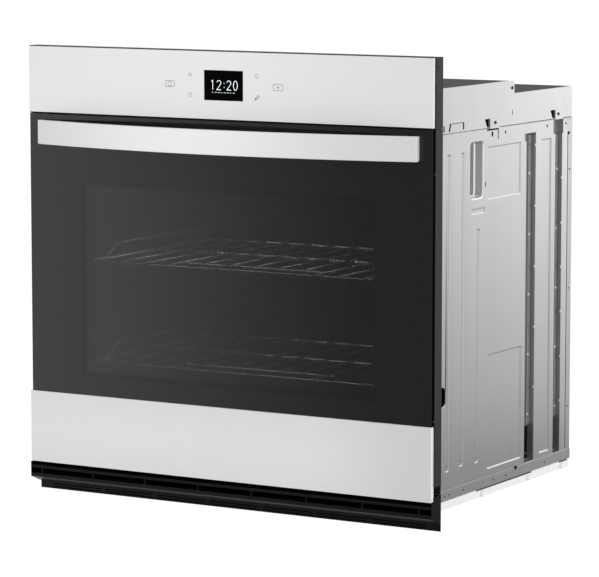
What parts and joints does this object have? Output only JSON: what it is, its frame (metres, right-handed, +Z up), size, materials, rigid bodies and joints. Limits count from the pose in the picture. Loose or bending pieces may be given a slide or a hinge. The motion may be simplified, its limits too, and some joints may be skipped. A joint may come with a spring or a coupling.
{
  "type": "wall oven",
  "caption": "Built-in electric wall oven with a drop-down glass door, bowed bar handle, flat touch control panel, louvred air outlet and pull-out wire racks.",
  "frame": {"origin": "on the floor of the cabinet cut-out, under the base rails, in the plane of the cabinet face and midway across the width", "axes": "+Z up, -Y out of the cabinet towards the user, +X to the user's right facing the door"},
  "size_m": [0.762, 0.6392, 0.747],
  "materials": {
    "white_glass": "gloss white back-painted glass",
    "white_paint": "gloss white enamel paint",
    "black_glass": "polished dark glass",
    "clear_glass": "clear polished glass",
    "galvanised": "light galvanised sheet",
    "trim_grey": "dark grey satin paint",
    "black_paint": "black satin paint",
    "enamel": "dark speckled porcelain enamel",
    "bright_wire": "bright plated wire",
    "heater_rod": "oxidised steel sheath",
    "bare_steel": "zinc-plated steel",
    "motor_paint": "grey paint",
    "fan_sheet": "aluminised sheet",
    "black_plastic": "moulded black plastic",
    "white_plastic": "moulded white plastic",
    "board": "green circuit board",
    "fibre": "loose glass-fibre blanket",
    "seal": "woven fibre-glass braid",
    "ceramic": "steatite"
  },
  "bodies": {
    "chassis": {"front_frame": "enamel", "side_trim_left": "trim_grey", "side_trim_right": "trim_grey", "console_frame": "trim_grey", "control_panel": "white_glass", "display_window": "black_glass", "control_board": "board", "side_panel_left": "galvanised", "side_panel_right": "galvanised", "upper_side_left": "galvanised", "upper_side_right": "galvanised", "top_cover_front": "galvanised", "top_cover_rear": "galvanised", "rear_panel": "galvanised", "rear_cover": "galvanised", "base_pan": "galvanised", "base_frame": "white_paint", "vent_trim": "black_paint", "air_deck": "galvanised", "liner_left": "enamel", "liner_right": "enamel", "liner_top": "enamel", "liner_bottom": "enamel", "liner_back": "enamel", "insulation": "fibre", "broil_element": "heater_rod", "bake_element": "heater_rod", "fan_baffle": "enamel", "fan_motor": "motor_paint", "lamp_housing": "bare_steel", "lamp_lens": "clear_glass", "temperature_probe": "bare_steel", "door_gasket": "seal", "hinge_receivers": "bare_steel", "hinge_arms": "bare_steel", "blower_housing": "bare_steel", "blower_motor": "motor_paint", "junction_box": "bare_steel", "junction_cover": "bare_steel", "terminal_block": "ceramic", "switch_body": "black_plastic", "body_screws": "bare_steel"},
    "door": {"door_outer_glass": "black_glass", "door_lower_trim": "white_paint", "door_top_trim": "black_paint", "door_inner_pan": "enamel", "door_inner_glass": "clear_glass", "door_middle_glass": "clear_glass", "door_glass_frame": "bare_steel", "handle_bar": "white_paint", "handle_mounts": "white_paint", "hinge_bodies": "bare_steel", "hinge_pins": "bare_steel"},
    "upper_rack": {"rack_upper": "bright_wire", "rack_rails_upper": "bright_wire"},
    "lower_rack": {"rack_lower": "bright_wire", "rack_rails_lower": "bright_wire"},
    "convection_fan": {"fan_wheel": "fan_sheet"},
    "cooling_blower": {"blower_wheel": "fan_sheet"},
    "door_switch": {"switch_plunger": "white_plastic"}
  },
  "joints": [
    {"name": "door_hinge", "type": "hinge", "parent": "chassis", "child": "door", "pos_m": [0, -0.024, 0.048], "axis": [1, 0, 0], "range_deg": [0, 90], "stiffness_Nm_per_rad": 10, "springref_deg": -17.19},
    {"name": "upper_rack_slide", "type": "slide", "parent": "chassis", "child": "upper_rack", "axis": [0, -1, 0], "range_m": [0, 0.2]},
    {"name": "lower_rack_slide", "type": "slide", "parent": "chassis", "child": "lower_rack", "axis": [0, -1, 0], "range_m": [0, 0.2]},
    {"name": "fan_spin", "type": "hinge", "parent": "chassis", "child": "convection_fan", "pos_m": [0, 0.44, 0.345], "axis": [0, 1, 0], "continuous": true},
    {"name": "blower_spin", "type": "hinge", "parent": "chassis", "child": "cooling_blower", "pos_m": [0, 0.4, 0.62], "axis": [0, 0, 1], "continuous": true},
    {"name": "switch_press", "type": "slide", "parent": "chassis", "child": "door_switch", "axis": [0, 1, 0], "range_m": [0, 0.003], "stiffness_N_per_m": 400, "springref_m": -0.001}
  ],
  "couplings": [
    {"joint": "upper_rack_slide", "follows": "door_hinge", "m_per_rad": 0.1273},
    {"joint": "lower_rack_slide", "follows": "door_hinge", "m_per_rad": 0.1273}
  ]
}
